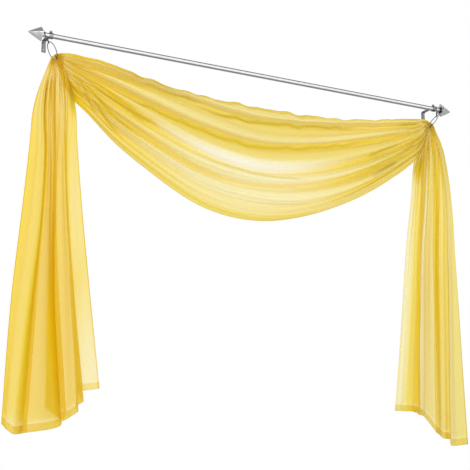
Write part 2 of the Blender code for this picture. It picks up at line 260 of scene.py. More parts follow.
ringSettings = {
    "wireRadius": 0.0016,
    "upperRadius": 0.0235,
    "lowerRadius": 0.0355,
    "linkGap": 0.0005,
    # end, side, upper ring's top along the rod, its height over the rod's axis, then degrees:
    # upper tilt towards the swag, upper turn, lower tilt, lower turn
    "poses": (
        ("left", -1, 0.919, 0.0121, 22.0, 30.0, 28.0, 3.0),
        ("right", 1, 0.915, 0.0118, 8.0, 38.0, 34.0, 7.5),
    ),
}


def ringFrame(side, tilt, turn):
    # The way a ring hangs, leaning towards the swag, and its axis, turned about that way.
    tilt, turn = math.radians(tilt), math.radians(turn)
    hang = np.array([-side * math.sin(tilt), 0.0, -math.cos(tilt)])
    square = np.array([math.cos(tilt), 0.0, -side * math.sin(tilt)])
    return hang, square * math.cos(turn) - backWay * math.sin(turn)


def ringPlaces(settings):
    # For each end: both rings' centres, hangs and axes, and the lowest point of the lower wire.
    found = {}
    link = 2 * settings["upperRadius"] - 2 * settings["wireRadius"] - settings["linkGap"]
    for end, side, place, height, upperTilt, upperTurn, lowerTilt, lowerTurn in settings["poses"]:
        top = np.array([side * place, -wallToRod, height])
        hang, axis = ringFrame(side, upperTilt, upperTurn)
        upper = (top + hang * settings["upperRadius"], hang, axis)
        top = top + hang * link
        hang, axis = ringFrame(side, lowerTilt, lowerTurn)
        lower = (top + hang * settings["lowerRadius"], hang, axis)
        found[end] = {"upper": upper, "lower": lower, "low": top + hang * 2 * settings["lowerRadius"]}
    return found


rings = ringPlaces(ringSettings)
print("rings placed")


# Scarf.

scarfSettings = {
    "folds": 12,
    "neckLayers": (0.0021, 0.0012),  # the innermost one's radius round the wire, and their spacing
    "neckDepth": (0.012, 0.007),  # at the first and the last fold line
    "roundness": (3.0, 1.25),  # of the folds, at the ring and where the cloth hangs open
    # the next two: how far from the ring the change starts, and over how much it goes on
    "opening": (0.03, 0.12),  # along the cloth: the folds open
    "cradle": (0.02, 0.06),  # from the wire: the cloth leaves its curve
    # share of the way over the wire, from the tail to the swag, and how far the folds spread there
    "neckSections": ((0.0, 1.1), (0.33, 1.0), (0.67, 1.05), (1.0, 1.22)),
    "swagExits": (92.0, 158.0),  # degrees round the wire to where the top and bottom edges leave it
    # share of the drop, share of the fold depth, then for the left and the right tail: outer edge,
    # inner edge, inner edge's shift back
    "tailSections": (
        (1.0, 1.0, (0.16, 0.204, 0.0), (0.129, 0.238, 0.0)),
        (0.65, 0.82, (0.139, 0.148, 0.0), (0.118, 0.187, 0.0)),
        (0.42, 0.66, (0.111, 0.114, 0.0), (0.108, 0.149, 0.0)),
        (0.25, 0.5, (0.092, 0.092, -0.004), (0.103, 0.108, 0.008)),
        (0.15, 0.36, (0.083, 0.081, -0.009), (0.09, 0.086, 0.014)),
        (0.085, 0.22, (0.063, 0.061, -0.014), (0.074, 0.06, 0.016)),
        (0.035, 0.1, (0.038, 0.036, -0.012), (0.047, 0.036, 0.012)),
    ),
    "foldStations": (0.30, 0.63, 1.0),  # shares of the drop that the next tables give places for
    # for the left, then the right tail: places across at the stations (0 outer edge, 1 inner edge),
    # depth at the hem, drop
    "tailFolds": ((
        (0.0, 0.0, 0.0, -0.01, 1.393),
        (0.262, 0.182, 0.092, -0.045, 1.43),
        (0.42, 0.38, 0.3, 0.04, 1.41),
        (0.345, 0.288, 0.207, -0.04, 1.424),
        (0.5, 0.576, 0.622, 0.001, 1.384),
        (0.565, 0.53, 0.475, 0.028, 1.319),
        (0.61, 0.648, 0.712, 0.042, 1.33),
        (0.534, 0.548, 0.589, -0.032, 1.376),
        (0.706, 0.76, 0.765, -0.02, 1.338),
        (0.735, 0.785, 0.78, 0.002, 1.314),
        (0.757, 0.817, 0.85, 0.003, 1.294),
        (0.83, 0.812, 0.812, 0.034, 1.262),
        (1.0, 1.0, 1.0, -0.015, 1.247),
    ), (
        (0.0, 0.0, 0.0, -0.012, 1.379),
        (0.145, 0.22, 0.27, -0.03, 1.39),
        (0.15, 0.185, 0.205, 0.005, 1.362),
        (0.335, 0.325, 0.345, -0.01, 1.358),
        (0.375, 0.37, 0.362, 0.026, 1.332),
        (0.51, 0.515, 0.515, -0.045, 1.337),
        (0.6, 0.61, 0.61, -0.022, 1.281),
        (0.725, 0.75, 0.745, -0.045, 1.272),
        (0.655, 0.58, 0.56, 0.04, 1.262),
        (0.785, 0.732, 0.715, 0.0, 1.256),
        (0.87, 0.88, 0.885, -0.01, 1.258),
        (0.93, 0.935, 0.94, -0.008, 1.258),
        (1.0, 1.0, 1.0, -0.02, 1.26),
    )),
    # place along the rod, top edge, bottom edge, share of the fold depth, bottom edge's shift back
    "swagSections": (
        (-0.835, -0.059, -0.172, 0.1, 0.013),
        (-0.798, -0.06, -0.229, 0.22, 0.012),
        (-0.735, -0.062, -0.284, 0.38, 0.008),
        (-0.635, -0.07, -0.376, 0.6, 0.004),
        (-0.48, -0.1, -0.48, 0.82, 0.0),
        (-0.25, -0.124, -0.594, 0.97, 0.0),
        (0.0, -0.136, -0.623, 1.0, 0.0),
        (0.25, -0.132, -0.568, 0.97, 0.0),
        (0.45, -0.113, -0.48, 0.84, 0.0),
        (0.63, -0.086, -0.372, 0.62, -0.004),
        (0.735, -0.07, -0.295, 0.42, -0.008),
        (0.795, -0.062, -0.24, 0.24, -0.012),
        (0.836, -0.057, -0.17, 0.1, -0.012),
    ),
    # place across at the left quarter, middle and right quarter, depth in the middle
    "swagFolds": (
        (0.0, 0.0, 0.0, 0.0),
        (0.06, 0.1, 0.08, -0.045),
        (0.085, 0.135, 0.115, 0.008),
        (0.24, 0.31, 0.27, -0.055),
        (0.275, 0.34, 0.3, 0.012),
        (0.43, 0.5, 0.46, -0.05),
        (0.5, 0.57, 0.56, -0.005),
        (0.62, 0.66, 0.66, -0.045),
        (0.67, 0.7, 0.71, 0.008),
        (0.76, 0.8, 0.83, -0.042),
        (0.83, 0.885, 0.89, 0.006),
        (0.93, 0.96, 0.96, -0.035),
        (1.0, 1.0, 1.0, -0.008),
    ),
    "swagQuarter": 0.46,
    # the fine sheet
    "columnsPerFold": 18,
    "rows": 376,
    "rowSteps": 4001,  # of the sum that places the rows
    "ringDensity": 2.6,  # how many more rows there are near a ring
    "ringDensityReach": 0.16,
    "flatWidth": 0.88,
    "flatLength": 4.60,
    "hemRows": 6,
    "hemDepth": 0.027,
    "sideHemColumns": 1,
    "hemOpenness": 0.30,  # at least, so that doubled cloth isn't too dense
    "turnGap": 0.0007,  # between the cloth and its turned hem
    # waves to a fold, turns to a metre of cloth, phase, height
    "gathers": (
        (1.37, 0.35, 0.4, 0.0014),
        (2.31, -0.55, 2.1, 0.0014),
        (3.63, 0.8, 4.0, 0.0012),
        (0.83, -0.25, 1.2, 0.0013),
    ),
    "unevenness": (
        (0.21, 1.3, 0.6, 0.001),
        (0.47, -0.9, 2.7, 0.0012),
        (0.93, 0.6, 5.1, 0.0014),
        (1.71, -0.42, 3.3, 0.0012),
    ),
    "gatherRise": (0.045, 0.07),  # along the cloth from the ring: where they start, and over how much
    "gatherFade": (0.16, 0.30),  # the same for how they die away
    "troughDepth": 0.0028,  # of a trough that counts as 1
    # painted golden depth and painted shade in the gathers' troughs
    "troughPaintedGold": 0.85,
    "troughShade": 0.34,
    "recessReach": 0.030,  # how far beside a point the cloth is compared with it
    "recessDepth": (0.008, 0.060),  # how far behind it starts to count, and how much more counts as 1
    "recessBlur": ((1, 2), (0, 4)),  # twice across the cloth and four times along it
    "tailReach": 1.4,  # the drop that counts as 1 along a tail
    "zonePower": 1.5,  # more makes a zone's top flatter
    # where the threads lie open, and where painted light lightens the cloth by the rings and on ridges,
    # for each stretch of cloth: centre along, centre across, size along, size across, strength. Along the
    # swag it is the place along the rod; across is 0 to 1.
    "openAndLitZones": {
        "leftTail": (
            (0.98, 0.97, 0.36, 0.06, 0.6), (0.6, 0.77, 0.55, 0.085, 0.4), (1.02, 0.12, 0.045, 0.2, 0.25),
            (1.0, 0.56, 0.2, 0.06, 0.22), (0.06, 0.5, 0.16, 0.9, 0.2), (0.42, 0.955, 0.24, 0.04, 0.28),
            (0.0, 0.45, 0.045, 0.56, 0.36),
        ),
        "swag": (
            (-0.02, 0.465, 0.42, 0.06, 0.95), (0.02, 0.585, 0.46, 0.12, 0.55),
            (-0.05, 0.8, 0.5, 0.14, 0.58), (-0.02, 0.68, 0.42, 0.045, 0.55),
            (0.05, 0.2, 0.85, 0.26, 0.24), (-0.83, 0.4, 0.035, 0.5, 0.16),
            (0.83, 0.5, 0.035, 1.2, 0.12),
        ),
        "rightTail": (
            (0.6, 0.5, 0.9, 0.9, 0.14), (0.55, 0.92, 0.6, 0.11, 0.62), (0.5, 0.555, 0.6, 0.045, 0.5),
            (0.0, 0.5, 0.045, 1.2, 0.26),
        ),
    },
    # painted depth: where painted shade and a deeper golden colour stand in for the layers behind the
    # cloth and the shade in its folds, in the same columns
    "paintedDepthZones": {
        "leftTail": (
            (0.74, 0.32, 0.22, 0.024, 1.0), (0.68, 0.122, 0.42, 0.034, 0.9),
            (0.3, 0.245, 0.24, 0.012, 0.8), (0.09, 0.975, 0.07, 0.08, 1.0),
        ),
        "swag": (
            (-0.8, 0.9, 0.06, 0.16, 0.9),
        ),
        "rightTail": (
            (0.42, 0.292, 0.52, 0.04, 0.85), (0.42, 0.718, 0.52, 0.024, 1.0),
            (0.138, 0.83, 0.04, 0.15, 1.0),
        ),
    },
    # where the cloth lies in its own shadow, in the same columns
    "shadeZones": {
        "leftTail": (
            (0.08, 1.0, 0.09, 0.018, 1.0), (0.045, 0.975, 0.06, 0.05, 1.0),
            (0.1, 0.97, 0.05, 0.055, 1.0), (0.14, 0.15, 0.11, 0.016, 0.35),
            (0.12, 0.36, 0.1, 0.012, 0.3), (0.16, 0.62, 0.12, 0.012, 0.25),
        ),
        "swag": (
            (-0.805, 0.96, 0.028, 0.12, 0.65), (0.805, 0.96, 0.028, 0.12, 0.65),
            (0.0, 0.12, 0.62, 0.05, 0.16), (0.1, 0.395, 0.7, 0.055, 0.14),
            (0.02, 0.225, 0.4, 0.05, 0.2), (0.62, 0.62, 0.15, 0.22, 0.12),
        ),
        "rightTail": (
            (0.065, 1.0, 0.075, 0.02, 1.0), (0.045, 0.975, 0.06, 0.05, 1.0),
            (0.138, 0.83, 0.045, 0.18, 0.75), (0.12, 0.38, 0.1, 0.012, 0.3),
            (0.1, 0.62, 0.1, 0.016, 0.3), (0.6, 0.92, 0.55, 0.11, 0.05),
        ),
    },
    # the top edge of the swag waves a little: waves to a metre along, phase, height
    "scallops": ((8.3, 0.4, 0.0026), (12.7, 2.0, 0.0016), (5.1, 4.4, 0.0020)),
    "scallopDrop": 0.0055,  # of the edge as a whole
    "scallopReach": 0.030,  # down the cloth, for each halving
    "scallopEnd": (0.80, 0.25),  # along the rod: where they are gone, and over how much they fade
    # creases in the swag: half width across, depth, how much painted shadow, how much painted golden
    # depth, then its points, each a place along the rod and one across the swag
    "creases": (
        (0.022, 0.0045, 0.6, 0.5, -0.76, 0.125, -0.64, 0.117, -0.54, 0.082, -0.45, 0.064, -0.36, 0.062,
            -0.2, 0.06),
        (0.016, 0.0045, 1.0, 0.0, -0.34, 0.112, -0.2, 0.126, -0.04, 0.134, 0.12, 0.124, 0.34, 0.11,
            0.56, 0.112),
        (0.017, 0.005, 0.85, 0.15, -0.78, 0.27, -0.6, 0.312, -0.46, 0.294, -0.28, 0.305, 0.0, 0.35,
            0.2, 0.334, 0.44, 0.313, 0.7, 0.292),
        (0.012, 0.0, 0.5, 0.0, -0.72, 0.008, -0.3, 0.01, 0.1, 0.01, 0.42, 0.008),
        (0.028, 0.0045, 0.45, 0.9, -0.77, 0.35, -0.66, 0.395, -0.55, 0.432, -0.42, 0.462),
        (0.006, 0.0022, 0.5, 0.0, -0.31, 0.531, -0.15, 0.558, 0.0, 0.583, 0.15, 0.608, 0.29, 0.641),
        (0.008, 0.003, 0.14, 0.3, -0.42, 0.662, -0.2, 0.687, -0.05, 0.691, 0.15, 0.708, 0.31, 0.76),
        (0.008, 0.002, 0.0, 0.45, -0.38, 0.642, -0.26, 0.655, -0.13, 0.677),
        (0.006, 0.0018, 0.05, 0.3, -0.42, 0.725, -0.1, 0.75, 0.27, 0.8),
        (0.008, 0.0022, 0.1, 0.45, -0.5, 0.79, -0.2, 0.815, 0.1, 0.85, 0.3, 0.9),
        (0.026, 0.0, 0.0, 0.35, -0.78, 0.95, -0.4, 0.955, 0.1, 0.95, 0.35, 0.96),
        (0.014, 0.0, 0.6, 0.0, -0.79, 0.994, -0.5, 0.994, -0.34, 0.994),
        (0.024, 0.004, 0.8, 0.6, -0.81, 0.27, -0.776, 0.36, -0.727, 0.42, -0.6, 0.45, -0.46, 0.478),
        (0.026, 0.0045, 0.7, 0.9, -0.81, 0.28, -0.776, 0.458, -0.727, 0.563, -0.648, 0.645, -0.52, 0.7),
        (0.022, 0.004, 0.7, 0.8, -0.818, 0.34, -0.776, 0.52, -0.737, 0.645, -0.678, 0.77, -0.57, 0.855),
        (0.018, 0.0035, 0.7, 0.8, -0.818, 0.4, -0.786, 0.583, -0.747, 0.728, -0.707, 0.83, -0.62, 0.9),
        (0.005, 0.0014, 0.16, 0.35, -0.55, 0.765, -0.25, 0.778, -0.05, 0.79, 0.27, 0.845),
        (0.005, 0.0014, 0.14, 0.35, -0.6, 0.855, -0.35, 0.862, -0.15, 0.875, 0.22, 0.925),
        (0.006, 0.002, 0.42, 0.0, -0.04, 0.825, 0.08, 0.84, 0.16, 0.858, 0.28, 0.892),
        (0.006, 0.0012, 0.1, 0.4, -0.5, 0.915, -0.2, 0.925, 0.05, 0.94, 0.36, 0.965),
        (0.004, 0.0012, 0.2, 0.2, -0.24, 0.615, -0.05, 0.628, 0.1, 0.645, 0.33, 0.68),
        (0.006, 0.0014, 0.1, 0.45, -0.64, 0.59, -0.45, 0.6, -0.25, 0.606, -0.05, 0.612),
        (0.024, 0.005, 1.0, 0.0, 0.54, 0.695, 0.66, 0.63, 0.738, 0.583, 0.79, 0.53),
        (0.034, 0.005, 0.95, 0.1, 0.52, 0.505, 0.62, 0.47, 0.71, 0.452),
        (0.026, 0.004, 0.95, 0.1, 0.53, 0.78, 0.6, 0.76, 0.69, 0.735),
        (0.034, 0.003, 1.0, 0.1, 0.7, 0.115, 0.77, 0.138, 0.825, 0.16),
    ),
    "creaseFade": 0.22,  # share of a crease's length
    "seenDepth": 0.435,  # seen from below, cloth farther back looks this share of its depth lower
}


def ramp(value, start, reach):
    # 0 up to the start, 1 from a reach farther on, and straight between.
    return np.clip((value - start) / reach, 0, 1)


def smooth(share):
    # The smooth step of a share: 3 share^2 - 2 share^3.
    return share**2 * (3 - 2 * share)


def splineThrough(keys, times, at, roundness=1.0):
    # Cubic pieces through the keys; each inner slope is the centred difference times the roundness.
    slopes = np.gradient(keys, times, axis=0)
    slopes[1:-1] *= roundness
    piece = np.clip(np.searchsorted(times, at, side="right") - 1, 0, len(times) - 2)
    shape = (-1,) + (1,) * (keys.ndim - 1)
    span = (times[piece + 1] - times[piece]).reshape(shape)
    f = (at - times[piece]).reshape(shape) / span
    start = (1 + 2 * f) * (1 - f) ** 2 * keys[piece] + f * (1 - f) ** 2 * span * slopes[piece]
    return start + f * f * (3 - 2 * f) * keys[piece + 1] + f * f * (f - 1) * span * slopes[piece + 1]


def neckRadius(settings, spread):
    # How far each fold line passes from the wire: the first line is the outermost.
    inner, spacing = settings["neckLayers"]
    return inner + np.arange(settings["folds"], -1.0, -1.0) * spacing * spread


def foldPlaces(settings):
    # Even places of the fold lines across the cloth, 0 to 1.
    return np.arange(settings["folds"] + 1) / settings["folds"]


def neckDepth(settings):
    # Odd lines lie to the front and even lines to the back, deeper at the first line.
    first, last = settings["neckDepth"]
    size = first + (last - first) * foldPlaces(settings)
    size[1::2] *= -1
    return size


def tailKeys(settings, tail, side, ring):
    # Fold lines of one tail at each section, from the hem up: even places at the ring, then the
    # table's places at its stations with straight runs between them.
    folds = np.array(settings["tailFolds"][tail])
    stations = np.array((0.0,) + settings["foldStations"])
    places = np.vstack([foldPlaces(settings), folds[:, :3].T])
    keys = []
    for share, opening, *edges in settings["tailSections"]:
        outer, inner, back = edges[tail]
        piece = min(np.searchsorted(stations, share), len(stations) - 1)
        mix = (share - stations[piece - 1]) / (stations[piece] - stations[piece - 1])
        across = places[piece - 1] + (places[piece] - places[piece - 1]) * mix
        x = ring[0] + side * (outer - (outer + inner) * across)
        y = ring[1] + neckDepth(settings) * (1 - opening) + folds[:, 3] * opening + back * across
        keys.append(np.stack([x, y, ring[2] - folds[:, 4] * share], axis=-1))
    return keys


def neckKeys(settings, side, ring):
    # Fold lines over the ring's wire: arcs round it from the tail's side to the swag's.
    top, bottom = settings["swagExits"]
    exits = np.radians(top + (bottom - top) * foldPlaces(settings))
    keys = []
    for share, opening in settings["neckSections"]:
        radius = neckRadius(settings, opening)
        x = ring[0] + side * radius * np.cos(exits * share)
        z = ring[2] + radius * np.sin(exits * share)
        keys.append(np.stack([x, ring[1] + neckDepth(settings), z], axis=-1))
    return keys


def swagKeys(settings, left, right):
    # Fold lines of the swag at each section, from the left ring to the right.
    folds, even = np.array(settings["swagFolds"]), foldPlaces(settings)
    quarter = settings["swagQuarter"]
    stops = np.array([left[0], -quarter, 0.0, quarter, right[0]])
    places = np.vstack([even, folds[:, :3].T, even])
    keys = []
    for place, top, bottom, opening, back in settings["swagSections"]:
        across = splineThrough(places, stops, np.array([place]))[0]
        y = left[1] + neckDepth(settings) * (1 - opening) + folds[:, 3] * opening + back * across
        keys.append(np.stack([np.full_like(y, place), y, top + (bottom - top) * across], axis=-1))
    return keys


def rowTimes(settings, times, ringTimes):
    # Rows stand closer together near the rings, and the hems get rows of their own.
    fine = np.linspace(0.0, times[-1], settings["rowSteps"])
    density = np.ones_like(fine)
    for at in ringTimes:
        density += settings["ringDensity"] * np.exp(-(((fine - at) / settings["ringDensityReach"]) ** 2))
    total = np.concatenate([[0.0], np.cumsum((density[1:] + density[:-1]) / 2 * np.diff(fine))])
    hem = np.linspace(0.0, settings["hemDepth"], settings["hemRows"] + 1)
    start = np.interp(settings["hemDepth"], fine, total)
    finish = np.interp(times[-1] - settings["hemDepth"], fine, total)
    inner = np.interp(np.linspace(start, finish, settings["rows"] + 1), total, fine)
    return np.concatenate([hem[:-1], inner, (times[-1] - hem[:-1])[::-1]])


def scarfSurface(settings, left, right):
    # The scarf's middle surface: a spline along each fold line, then a rounder one across them.
    ends = [
        tailKeys(settings, tail, side, ring) + neckKeys(settings, side, ring)
        for tail, side, ring in ((0, -1, left), (1, 1, right))
    ]
    keys = np.array(ends[0] + swagKeys(settings, left, right) + ends[1][::-1])
    steps = np.linalg.norm(np.diff(keys, axis=0), axis=-1).mean(axis=1)
    times = np.concatenate([[0.0], np.cumsum(steps)])
    neck = len(settings["neckSections"])
    necks = (len(ends[0]) - neck, len(keys) - len(ends[1]))  # where each neck's keys start
    ringTimes = [(times[first] + times[first + neck - 1]) / 2 for first in necks]
    rows = rowTimes(settings, times, ringTimes)
    lines = splineThrough(keys, times, rows)

    away = np.min([np.abs(rows - at) for at in ringTimes], axis=0)
    tight, loose = settings["roundness"]
    roundness = tight + (loose - tight) * ramp(away, *settings["opening"])
    columns = np.linspace(0, settings["folds"], settings["folds"] * settings["columnsPerFold"] + 1)
    number = np.arange(settings["folds"] + 1.0)
    grid = splineThrough(lines.transpose(1, 0, 2), number, columns, roundness[None, :, None])
    grid = grid.transpose(1, 0, 2)

    for ring in (left, right):  # the cloth lies in the curve of the ring's wire
        away = grid.mean(axis=1) - ring
        distance = np.linalg.norm(away, axis=1)
        near = (1 - ramp(distance, *settings["cradle"]))[:, None]
        lift = (grid[:, :, 1] - ring[1]) ** 2 / (2 * ringSettings["lowerRadius"]) * near
        grid = grid + lift[:, :, None] * (away / distance[:, None])[:, None, :]
    return grid, rows, columns, ringTimes


def surfaceNormals(grid):
    # Unit normals of a grid, from its centred differences along and across.
    along = np.gradient(grid, axis=0)
    normals = np.cross(np.gradient(grid, axis=1), along)
    return normals / np.maximum(np.linalg.norm(normals, axis=-1, keepdims=True), 1e-12)


def foldRecess(settings, grid):
    # How far each point lies behind the foremost cloth beside it in its row, 0 to 1, then blurred: the
    # mask of the painted shade and deeper colour in the folds.
    offset = np.abs(grid[:, :, None, [0, 2]] - grid[:, None, :, [0, 2]]).max(axis=-1)
    front = np.where(offset < settings["recessReach"], grid[:, None, :, 1], np.inf).min(axis=2)
    recessShade = ramp(grid[:, :, 1] - front, *settings["recessDepth"])
    for axis, times in settings["recessBlur"]:
        place = np.arange(recessShade.shape[axis])
        for _ in range(times):
            ahead = np.take(recessShade, np.minimum(place + 1, place[-1]), axis)
            behind = np.take(recessShade, np.maximum(place - 1, 0), axis)
            recessShade = (ahead + behind + 2 * recessShade) / 4
    return recessShade


def finePleats(settings, grid, columns, rows, ringTimes):
    # Pushes the cloth along its normal: fine gathers that fan out from each ring and die away, and a
    # slow unevenness everywhere. Each is a sum of sines across, whose phase drifts along the cloth.
    # Also returns how far down in a gather's trough each point lies, 0 to 1, for painted shade and golden
    # depth there.
    away = np.min([np.abs(rows - at) for at in ringTimes], axis=0)[:, None]
    rise = ramp(away, *settings["gatherRise"])
    full, fade = settings["gatherFade"]
    fan = rise * np.exp(-np.maximum(away - full, 0) / fade)
    number, length = columns[None, :], rows[:, None]
    push = np.zeros(grid.shape[:2])
    for perFold, drift, phase, height in settings["gathers"]:
        push += fan * height * np.sin(2 * np.pi * (perFold * number + drift * length) + phase)
    trough = fan * ramp(-push, 0, settings["troughDepth"])
    for perFold, drift, phase, height in settings["unevenness"]:
        push += rise * height * np.sin(2 * np.pi * (perFold * number + drift * length) + phase)
    return grid + surfaceNormals(grid) * push[:, :, None], trough


def swagCreases(settings, grid, inSwag):
    # Grooves in the swag: each is a bell across, round a spline through its points, and fades in and
    # out at its ends. Returns how far they push the cloth back, and how much painted shadow and painted
    # golden depth it gets.
    along = grid[:, :, 0].mean(axis=1)
    fall = grid[:, :1, 2] - grid[:, -1:, 2]
    seen = grid[:, :1, 2] - grid[:, :, 2] + settings["seenDepth"] * (grid[:, :, 1] + wallToRod)
    across = seen / np.where(inSwag[:, None], fall, 1.0)
    push, shade, paintedGold = np.zeros((3,) + grid.shape[:2])
    for width, depth, shaded, paintedGolden, *points in settings["creases"]:
        stops, places = np.reshape(points, (-1, 2)).T
        centre = splineThrough(places, stops, np.clip(along, stops[0], stops[-1]))
        fade = settings["creaseFade"] * (stops[-1] - stops[0])
        ends = ramp(np.minimum(along - stops[0], stops[-1] - along), 0, fade)
        bell = np.exp(-(((across - centre[:, None]) / width) ** 2)) * (smooth(ends) * inSwag)[:, None]
        push += depth * bell
        shade = np.maximum(shade, shaded * bell)
        paintedGold = np.maximum(paintedGold, paintedGolden * bell)
    return push, shade, paintedGold


def waveTopEdge(settings, grid, inSwag):
    # Lowers and waves the cloth near the swag's top edge: a sum of sines along the rod, halved for
    # each reach down and gone at the rings.
    x = grid[:, :1, 0]
    down = grid[:, :1, 2] - grid[:, :, 2]
    end, fade = settings["scallopEnd"]
    fade = ramp(end - np.abs(x), 0, fade) * inSwag[:, None]
    waves = sum(size * np.sin(2 * np.pi * turns * x + phase) for turns, phase, size in settings["scallops"])
    lift = (-settings["scallopDrop"] + waves) * fade * 0.5 ** (down / settings["scallopReach"])
    return grid + lift[:, :, None] * upWay


def zoneStrength(settings, name, grid, columns, parts):
    # The most that any of the named zones gives at each point. A zone is a flat-topped bell:
    # exp(-(along^2 + across^2)^power), both from its centre and over its sizes.
    place = (columns / settings["folds"])[None, :]
    found = np.zeros(grid.shape[:2])
    for part, zones in settings[name].items():
        inPart, along = parts[part]
        for centreAlong, centreAcross, sizeAlong, sizeAcross, strength in zones:
            reach = ((along - centreAlong) / sizeAlong) ** 2 + ((place - centreAcross) / sizeAcross) ** 2
            zone = strength * np.exp(-(reach ** settings["zonePower"])) * inPart[:, None]
            found = np.maximum(found, zone)
    return found


def turnHems(settings, grid, values):
    # Turns each edge back behind the cloth: copies of its own rows or columns, set back a little.
    for axis, count in ((1, settings["sideHemColumns"]), (0, settings["hemRows"])):
        back = grid - surfaceNormals(grid) * settings["turnGap"]
        size = grid.shape[axis]
        first, last = np.arange(count, -1, -1), np.arange(size - 1, size - count - 2, -1)
        grid = np.concatenate([np.take(back, first, axis), grid, np.take(back, last, axis)], axis=axis)
        values = np.concatenate([np.take(values, first, axis), values, np.take(values, last, axis)], axis=axis)
    return grid, values


def makeScarf(settings, rings):
    # The fine sheet, with a UV map in metres of flat cloth and three attributes that paint light and
    # shade: how far back in the folds a point lies, for painted shade and deeper colour; how open its
    # threads are, also where painted light lightens it; and how much painted shadow it has.
    left, right = rings["left"]["low"], rings["right"]["low"]
    grid, rows, columns, ringTimes = scarfSurface(settings, left, right)
    grid, trough = finePleats(settings, grid, columns, rows, ringTimes)
    across = columns / settings["folds"] * settings["flatWidth"]
    along = rows / rows[-1] * settings["flatLength"]
    flat = np.stack(np.meshgrid(across, along), axis=-1)
    inSwag = (rows > ringTimes[0]) & (rows < ringTimes[1])
    height, reach = grid[:, :, 2], settings["tailReach"]
    parts = {  # which rows belong to each, and the places along it
        "leftTail": (rows < ringTimes[0], (left[2] - height) / reach),
        "swag": (inSwag, grid[:, :, 0]),
        "rightTail": (rows > ringTimes[1], (right[2] - height) / reach),
    }
    grid = waveTopEdge(settings, grid, inSwag)
    push, shade, paintedGold = swagCreases(settings, grid, inSwag)
    recessShade = foldRecess(settings, grid)
    grid = grid + push[:, :, None] * backWay
    shade = np.maximum(shade, settings["troughShade"] * trough**2)
    shade = np.maximum(shade, zoneStrength(settings, "shadeZones", grid, columns, parts))
    # Painted shade: crease gold, gather troughs and the zones give the folds a deeper golden colour.
    paintedDepth = np.maximum(paintedGold, settings["troughPaintedGold"] * trough)
    paintedDepth = np.maximum(paintedDepth, zoneStrength(settings, "paintedDepthZones", grid, columns, parts))
    recessShade = np.maximum(recessShade, paintedDepth)
    # Open threads, and painted light that lightens the cloth by the rings and on ridges.
    stretch = zoneStrength(settings, "openAndLitZones", grid, columns, parts) * (1 - np.maximum(paintedDepth, shade))
    for hem in (stretch[: settings["hemRows"] + 1], stretch[-settings["hemRows"] - 1 :]):
        np.maximum(hem, settings["hemOpenness"], out=hem)
    values = np.concatenate([flat, np.stack([recessShade, stretch, shade], axis=-1)], axis=-1)
    grid, values = turnHems(settings, grid, values)
    faces = gridFaces(grid.shape[0], grid.shape[1])
    scarf = meshFromPoints("sheerScarf", grid.reshape(-1, 3), faces, values[:, :, :2].reshape(-1, 2))
    for number, name in ((2, "recessShade"), (3, "stretch"), (4, "shade")):
        layer = scarf.data.attributes.new(name, "FLOAT", "POINT")
        layer.data.foreach_set("value", values[:, :, number].astype(np.float32).ravel())
    scarf.visible_glossy = False
    print("scarf", grid.shape, 2 * len(faces), "triangles")
    return scarf


# Steel parts.

steelSettings = {
    "rodRadius": 0.0095,
    "rodHalfLength": 0.938,
    "rodEdge": 0.0008,
    "rodSides": 96,
    "rodRows": 24,
    "rodRowsFrom": 0.03,  # from each end
    "ringSteps": 128,
    "wireSides": 14,
    "finialBase": 0.932,
    "finialLength": 0.054,
    "finialHalfDiagonal": 0.0305,
    "finialTip": 0.0012,
    "finialSocketRadius": 0.0098,
    "finialSocketDepth": 0.0065,
    "finialSides": 144,
    "baseRing": (1.3, 1.6),  # its radius over the socket's, and the power of its cross-section
    "rim": (0.3, 0.6, 1.5),  # in tips: how far along its middle lies, how far in, and the face's start
    "point": (0.4, 0.8, 1.5),  # in tips: how far before the end, its radius; then its power
    "faceRows": 16,
    "faceBulge": 0.90,  # power of the share left to the tip: less than 1 swells the faces
    "squareness": 1.10,  # power of the cross-section: 1 is a sharp square and 2 is round
    "collarRadius": 0.0122,
    "collarWire": 0.0019,
    "bracketPlace": 0.894,
    "sleeveRadius": 0.0125,
    "screwGap": 0.0003,
    "screwRadius": 0.0052,
    "screwHeight": 0.0065,
    "screwShank": 0.0020,
    "screwEdge": 0.0007,
    "screwFlutes": 14,
    "fluteDepth": 0.05,
    "screwSides": 168,
    "mergeDistance": 0.000001,
}


def closedPiece(name, grid):
    # A grid that wraps round its second direction, with its seam and poles merged and its faces out.
    rows, columns = grid.shape[:2]
    corner = np.arange(rows - 1)[:, None] * columns + np.arange(columns)
    ahead = np.arange(rows - 1)[:, None] * columns + (np.arange(columns) + 1) % columns
    faces = np.stack([corner, ahead, ahead + columns, corner + columns], axis=-1).reshape(-1, 4)
    made = meshFromPoints(name, grid.reshape(-1, 3), faces)
    shape = bmesh.new()
    shape.from_mesh(made.data)
    bmesh.ops.remove_doubles(shape, verts=shape.verts, dist=steelSettings["mergeDistance"])
    bmesh.ops.recalc_face_normals(shape, faces=shape.faces)
    shape.to_mesh(made.data)
    shape.free()
    made.data.shade_smooth()
    return made


def turnedPiece(name, profile, sides, base, way, side, flutes=0, fluteDepth=0.0):
    # A lathe: base + way * along + radius * (side * cos a + up * sin a), with the radius times
    # (|cos a|^p + |sin a|^p)^(-1/p). Flutes then take their depth from it, where a row has them.
    along, radius, power, fluted = np.array(profile).T[:, :, None]
    turn = np.arange(sides)[None, :] * 2 * math.pi / sides
    shape = (np.abs(np.cos(turn)) ** power + np.abs(np.sin(turn)) ** power) ** (-1 / power)
    shape = shape * (1 - fluted * fluteDepth * (0.5 + 0.5 * np.cos(flutes * turn)))
    up = np.cross(way, side)
    out = side * np.cos(turn)[:, :, None] + up * np.sin(turn)[:, :, None]
    return closedPiece(name, base + way * along[:, :, None] + out * (radius * shape)[:, :, None])


